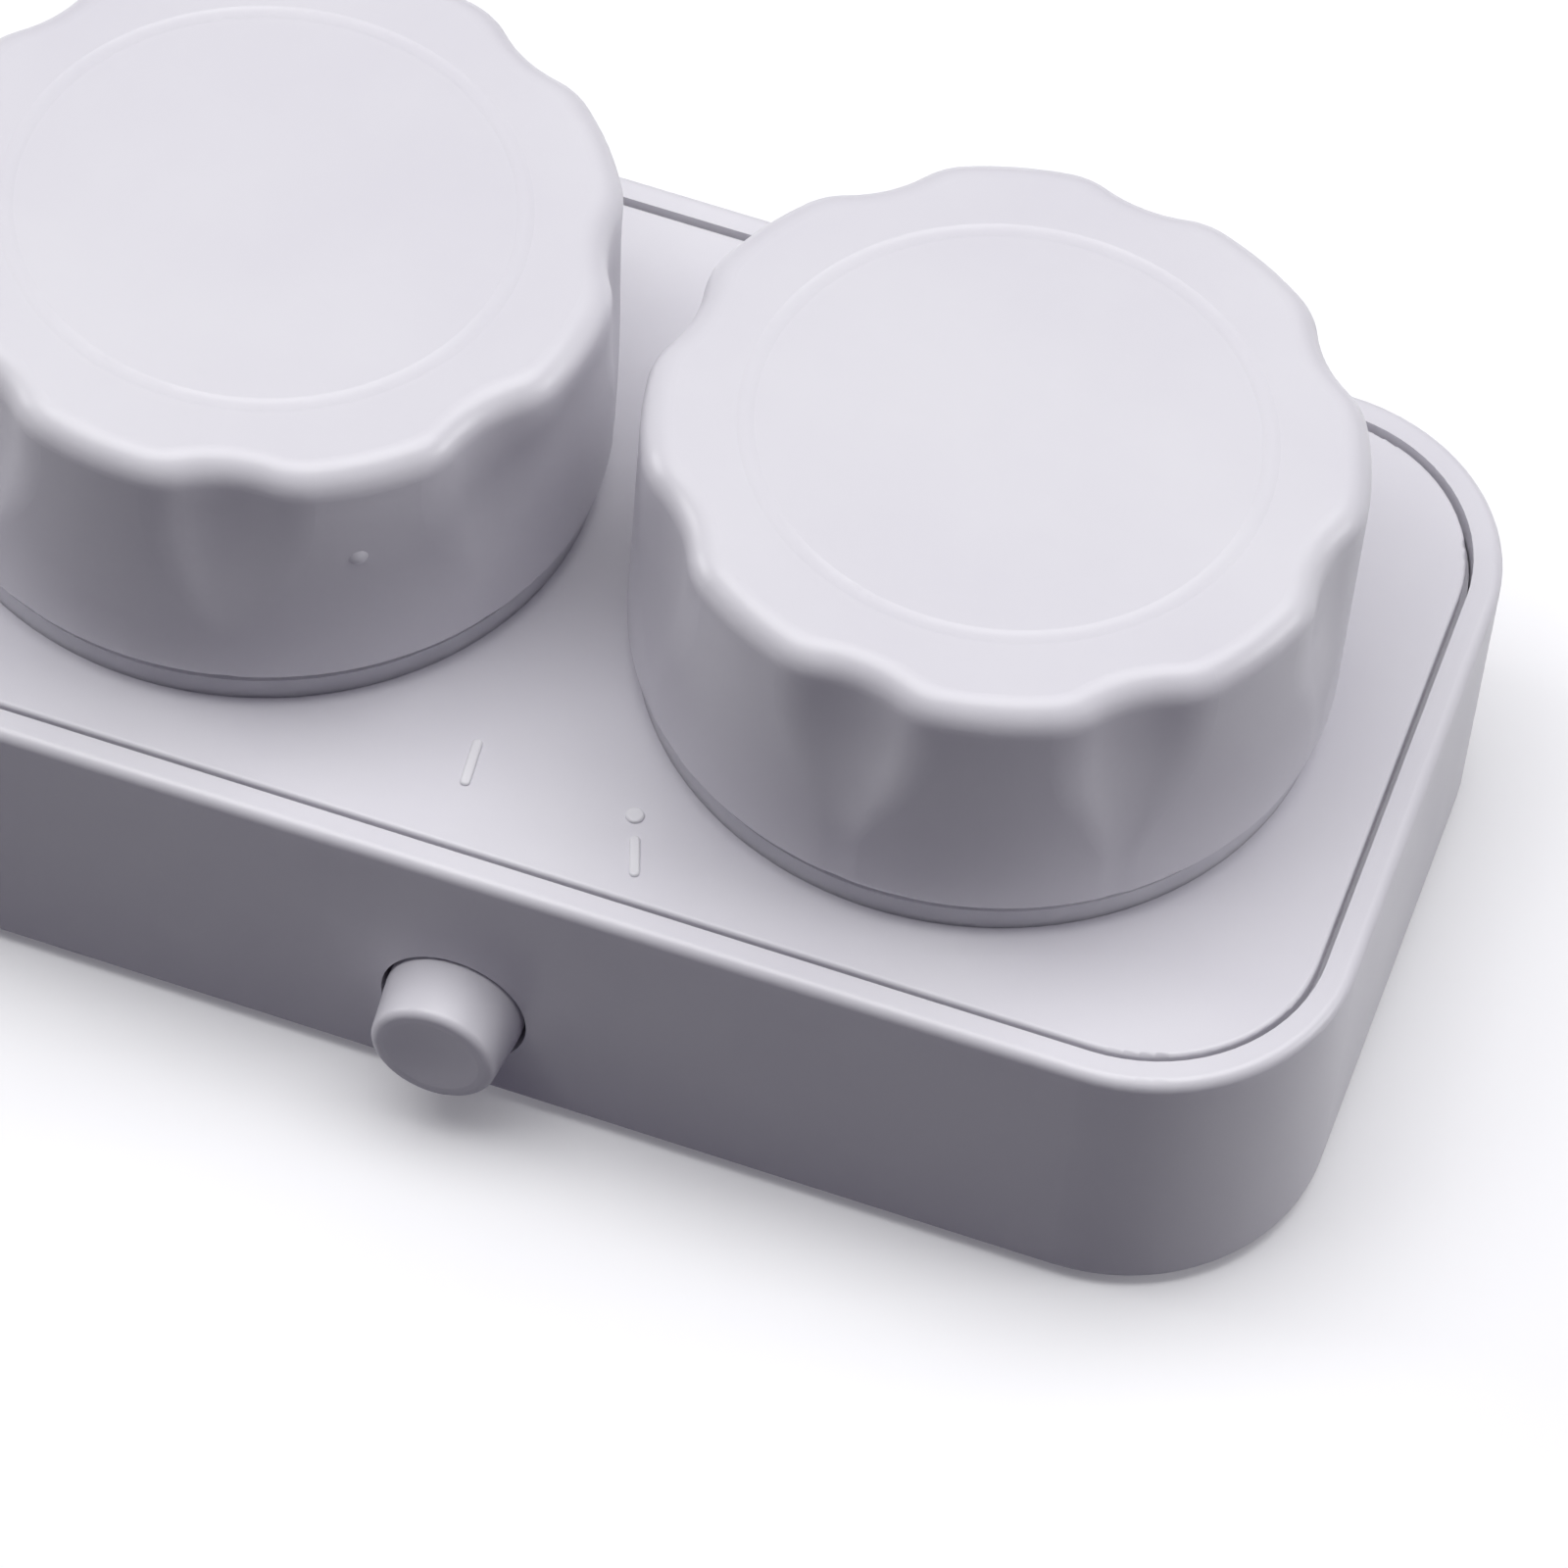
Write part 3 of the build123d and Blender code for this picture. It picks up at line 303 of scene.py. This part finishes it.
def copper_winding():
    """Enamelled copper turns, wound round and round the rotor."""
    material, tree, shader = new_material("copper_winding")
    set_inputs(shader, Metallic=1.0, Coat_Weight=0.5, Coat_Roughness=0.12)
    turns = bands(tree, 1300, "X", distortion=0.6)
    # The colour runs dark in the grooves between turns and bright on their crowns: painted shade and
    # painted highlight.
    colour = mix_colours(tree, turns, (0.30, 0.075, 0.03, 1), (0.78, 0.34, 0.16, 1))
    roughness = remap(tree, noise(tree, 900), 0.29, 0.40)
    normal = bump(tree, turns, 0.00006)
    finish_material(tree, shader, colour, roughness, normal)
    return material


def wire_insulation(name, deep, pale):
    """Soft PVC over a wire, a little uneven, with handling marks."""
    material, tree, shader = new_material(name)
    set_inputs(shader, IOR=1.53, Subsurface_Weight=0.08, Subsurface_Scale=0.0004)
    tones = remap(tree, noise(tree, 500, detail=3.0), 0, 1)
    colour = mix_colours(tree, tones, deep, pale)
    roughness = remap(tree, noise(tree, 1500), 0.3, 0.5)
    normal = bump(tree, noise(tree, 1800, detail=2.0), 0.00002)
    finish_material(tree, shader, colour, roughness, normal)
    return material


def dress_nodes():
    """Gives every node of the frame its material, and returns the materials by node."""
    white = moulded_white("moulded_white")
    milky = natural_plastic()
    black = textured_black()
    nickel = worked_metal("nickel_steel", (0.66, 0.64, 0.60, 1), (0.48, 0.46, 0.43, 1), 0.29, "X", 1800)
    zinc = worked_metal("zinc_screw", (0.60, 0.62, 0.66, 1), (0.42, 0.42, 0.42, 1), 0.32, "Z", 2200)
    ferrite = worked_metal("ferrite", (0.075, 0.072, 0.070, 1), (0.035, 0.034, 0.034, 1), 0.55, "X", 900)
    brass = worked_metal("brass_tab", (0.80, 0.58, 0.26, 1), (0.55, 0.38, 0.17, 1), 0.3, "X", 2500)
    weight = worked_metal("weight_brass", (0.72, 0.56, 0.30, 1), (0.50, 0.37, 0.20, 1), 0.36, "X", 2500)
    red = wire_insulation("red_insulation", (0.42, 0.015, 0.012, 1), (0.60, 0.035, 0.025, 1))
    blue = wire_insulation("blue_insulation", (0.012, 0.05, 0.36, 1), (0.03, 0.09, 0.50, 1))
    grey = wire_insulation("black_insulation", (0.010, 0.010, 0.011, 1), (0.030, 0.030, 0.032, 1))
    seal = soft_silicone("seal_silicone", (0.74, 0.74, 0.76, 1), (0.62, 0.62, 0.65, 1), 0.5)
    foot = soft_silicone("foot_rubber", (0.40, 0.40, 0.42, 1), (0.30, 0.30, 0.32, 1), 0.62)
    sleeve = soft_silicone("sleeve_rubber", (0.040, 0.040, 0.042, 1), (0.018, 0.018, 0.019, 1), 0.6)
    materials = {
        "body_shell": white,
        "deck_plate": moulded_white("deck_white", marks_z=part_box("body_shell")[1].z),
        "cap_left": white,
        "cap_right": white,
        "power_button": white,
        "battery_cover": white,
        "lens_cup_left": milky,
        "lens_cup_right": milky,
        "cap_liner_left": seal,
        "cap_liner_right": seal,
        "rubber_feet": foot,
        "switch_plunger": black,
        "switch_housing": black,
        "motor_end_cap": black,
        "switch_spring": nickel,
        "switch_pins": nickel,
        "cell_can": nickel,
        "contact_positive": nickel,
        "contact_negative": nickel,
        "motor_can": nickel,
        "motor_shaft": nickel,
        "case_screws": zinc,
        "cell_jacket": cell_film(),
        "motor_magnet": ferrite,
        "motor_rotor": copper_winding(),
        "motor_tabs": brass,
        "eccentric_weight": weight,
        "motor_sleeve": sleeve,
        "wire_positive": red,
        "wire_switched": blue,
        "wire_negative": grey,
    }
    for name, node in nodes.items():
        node.data.materials.clear()
        node.data.materials.append(materials[name])
    return materials


# Added fittings

def make_piece(name, points, faces, material):
    """A new mesh piece, smooth except on faces of more than four corners."""
    mesh = bpy.data.meshes.new(name)
    mesh.from_pydata(points, [], faces)
    mesh.polygons.foreach_set("use_smooth", [len(face) <= 4 for face in faces])
    mesh.materials.append(material)
    piece = bpy.data.objects.new(name, mesh)
    bpy.context.scene.collection.objects.link(piece)
    return piece


def lathe(name, profile, centre, axis, material):
    """A closed turned piece. The profile is (distance along the axis, radius) pairs."""
    side = axis.orthogonal().normalized()
    over = axis.cross(side)
    points = [centre + axis * profile[0][0]]
    for along, radius in profile[1:-1]:
        for step in range(LATHE_STEPS):
            turn = 2 * pi * step / LATHE_STEPS
            points.append(centre + axis * along + (side * cos(turn) + over * sin(turn)) * radius)
    points.append(centre + axis * profile[-1][0])
    rings = len(profile) - 2
    faces = []
    for step in range(LATHE_STEPS):
        after = (step + 1) % LATHE_STEPS
        faces.append((0, 1 + after, 1 + step))
        last = 1 + (rings - 1) * LATHE_STEPS
        faces.append((len(points) - 1, last + step, last + after))
        for ring in range(rings - 1):
            low = 1 + ring * LATHE_STEPS
            high = low + LATHE_STEPS
            faces.append((low + step, low + after, high + after, high + step))
    return make_piece(name, points, faces, material)


def make_solder(name, centre, axis, material):
    """A solder joint: a full bead that thins towards the wire on one side and the tab on the other."""
    profile = []
    for step in range(SOLDER_STEPS + 1):
        part_way = step / SOLDER_STEPS
        swell = sin(pi * part_way) ** SOLDER_SWELL
        lean = 1 + SOLDER_LEAN * cos(pi * part_way)
        profile.append(((part_way - 0.5) * SOLDER_L, SOLDER_R * swell * lean))
    piece = lathe(name, profile, Vector(centre), Vector(axis), material)
    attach(piece, "case")


def make_solder_joints():
    """One joint at each end of each wire."""
    solder = worked_metal("solder", (0.72, 0.72, 0.74, 1), (0.50, 0.50, 0.53, 1), 0.3, "Z", 700)
    contacts = {"positive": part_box("contact_positive"), "negative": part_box("contact_negative")}
    red_low, red_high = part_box("wire_positive")
    tab_z = red_high.z - WIRE_R
    plate_t = contacts["positive"][1].x - contacts["positive"][0].x
    plate_x = {
        "positive": contacts["positive"][0].x + plate_t / 2,
        "negative": contacts["negative"][0].x + plate_t / 2,
    }
    for end, (low, high) in contacts.items():
        make_solder("solder_contact_" + end, (plate_x[end], low.y, tab_z), (0, 1, 0), solder)
    pins_low, pins_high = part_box("switch_pins")
    pin_z = (pins_low.z + pins_high.z) / 2
    for side, x in (("left", pins_low.x), ("right", pins_high.x)):
        make_solder("solder_pin_" + side, (x, red_low.y + WIRE_R, pin_z), (1, 0, 0), solder)
    tabs_low, tabs_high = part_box("motor_tabs")
    tabs_z = (tabs_low.z + tabs_high.z) / 2
    for side, y in (("front", tabs_low.y + MOTOR_TAB_W / 2), ("rear", tabs_high.y - MOTOR_TAB_W / 2)):
        make_solder("solder_motor_" + side, (tabs_low.x, y, tabs_z), (1, 0, 0), solder)


def make_cover_ribs(material):
    """Low grip ribs across the battery cover, beside its finger scoop."""
    low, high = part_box("battery_cover")
    middle_y = (low.y + high.y) / 2
    half = COVER_RIB_L / 2
    for count in range(COVER_RIBS):
        profile = [(-half, 0)]
        for step in range(1, COVER_RIB_STEPS):
            along = -cos(pi * step / COVER_RIB_STEPS)
            round_end = min(1, (1 - abs(along)) * COVER_RIB_L / (2 * COVER_RIB_R))
            profile.append((along * half, COVER_RIB_R * (1 - (1 - round_end) ** 2) ** 0.5))
        profile.append((half, 0))
        x = high.x - COVER_RIB_START - count * COVER_RIB_PITCH
        centre = Vector((x, middle_y, low.z + COVER_RIB_R - COVER_RIB_PROUD))
        name = "cover_rib_" + str(count + 1)
        rib = lathe(name, profile, centre, Vector((0, 1, 0)), material)
        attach(rib, "battery_cover")


def wound_wire(start, length):
    """The points and faces of a round wire wound about the Y axis, from start towards -Y."""
    points = []
    steps = SPRING_TURNS * SPRING_STEPS
    for step in range(steps + 1):
        turn = 2 * pi * step / SPRING_STEPS
        outward = Vector((cos(turn), 0, sin(turn)))
        middle = start - Vector((0, length * step / steps, 0)) + outward * SPRING_COIL_R
        for corner in range(SPRING_WIRE_STEPS):
            angle = 2 * pi * corner / SPRING_WIRE_STEPS
            points.append(middle + SPRING_WIRE_R * (outward * cos(angle) + Vector((0, sin(angle), 0))))
    faces = [tuple(range(SPRING_WIRE_STEPS))]
    for step in range(steps):
        low = step * SPRING_WIRE_STEPS
        high = low + SPRING_WIRE_STEPS
        for corner in range(SPRING_WIRE_STEPS):
            after = (corner + 1) % SPRING_WIRE_STEPS
            faces.append((low + after, low + corner, high + corner, high + after))
    last = steps * SPRING_WIRE_STEPS
    faces.append(tuple(last + corner for corner in reversed(range(SPRING_WIRE_STEPS))))
    return points, faces


def make_return_spring(material):
    """The switch's coil spring, built at rest in place of the switch_spring node and fixed to the case.
    """
    low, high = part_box("switch_spring")
    middle_z = (low.z + high.z) / 2
    start = Vector((0, high.y - SPRING_WIRE_R, middle_z))
    points, faces = wound_wire(start, high.y - low.y - 2 * SPRING_WIRE_R)
    spring = make_piece("return_spring", points, faces, material)
    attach(spring, "case")
    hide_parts("switch_spring")
    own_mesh(spring)


# Camera and studio

def make_camera():
    """The camera, tilted by its roll about its own line of sight."""
    azimuth = radians(CAMERA_AZIMUTH)
    elevation = radians(CAMERA_ELEVATION)
    back = Vector((sin(azimuth) * cos(elevation), -cos(azimuth) * cos(elevation), sin(elevation)))
    right = Vector((0, 0, 1)).cross(back).normalized()
    up = back.cross(right)
    roll = Matrix.Rotation(radians(CAMERA_ROLL), 3, back)
    axes = Matrix((roll @ right, roll @ up, back)).transposed()
    data = bpy.data.cameras.new("camera")
    data.lens = CAMERA_LENS
    data.sensor_width = CAMERA_SENSOR
    data.clip_start = CAMERA_NEAR
    camera = bpy.data.objects.new("camera", data)
    place = Vector(CAMERA_TARGET) + back * CAMERA_DISTANCE
    camera.matrix_world = Matrix.Translation(place) @ axes.to_4x4()
    bpy.context.scene.collection.objects.link(camera)
    bpy.context.scene.camera = camera


def make_light(name, place, size, power):
    """A rectangular soft light that faces the case."""
    data = bpy.data.lights.new(name, "AREA")
    data.shape = "RECTANGLE"
    data.size, data.size_y = size
    data.energy = power
    light = bpy.data.objects.new(name, data)
    light.location = place
    facing = Vector(LIGHT_TARGET) - Vector(place)
    light.rotation_euler = facing.to_track_quat("-Z", "Y").to_euler()
    bpy.context.scene.collection.objects.link(light)


def make_floor():
    """A white floor that takes the shadow and doesn't light the walls from below."""
    bpy.ops.mesh.primitive_plane_add(size=FLOOR_SIZE)
    floor = bpy.context.object
    floor.name = "floor"
    floor.visible_diffuse = False
    material, tree, shader = new_material("floor")
    set_inputs(shader, Base_Color=FLOOR_COLOUR, Roughness=FLOOR_ROUGHNESS, Specular_IOR_Level=0.0)
    set_inputs(shader, Emission_Color=FLOOR_COLOUR, Emission_Strength=FLOOR_GLOW)
    floor.data.materials.append(material)


def make_sky():
    """A dim lilac surround that fills the shadows."""
    world = bpy.data.worlds.new("studio")
    world.use_nodes = True
    set_inputs(world.node_tree.nodes["Background"], Color=SKY_COLOUR, Strength=SKY_STRENGTH)
    bpy.context.scene.world = world
    bpy.context.scene.view_settings.view_transform = "Standard"


make_camera()
make_floor()
make_sky()
make_light("panel", PANEL_PLACE, PANEL_SIZE, PANEL_POWER)
make_light("right_side", RIGHT_PLACE, RIGHT_SIZE, RIGHT_POWER)
make_light("left_side", LEFT_PLACE, LEFT_SIZE, LEFT_POWER)
node_materials = dress_nodes()
make_cover_ribs(node_materials["battery_cover"])
make_return_spring(node_materials["switch_spring"])
make_solder_joints()
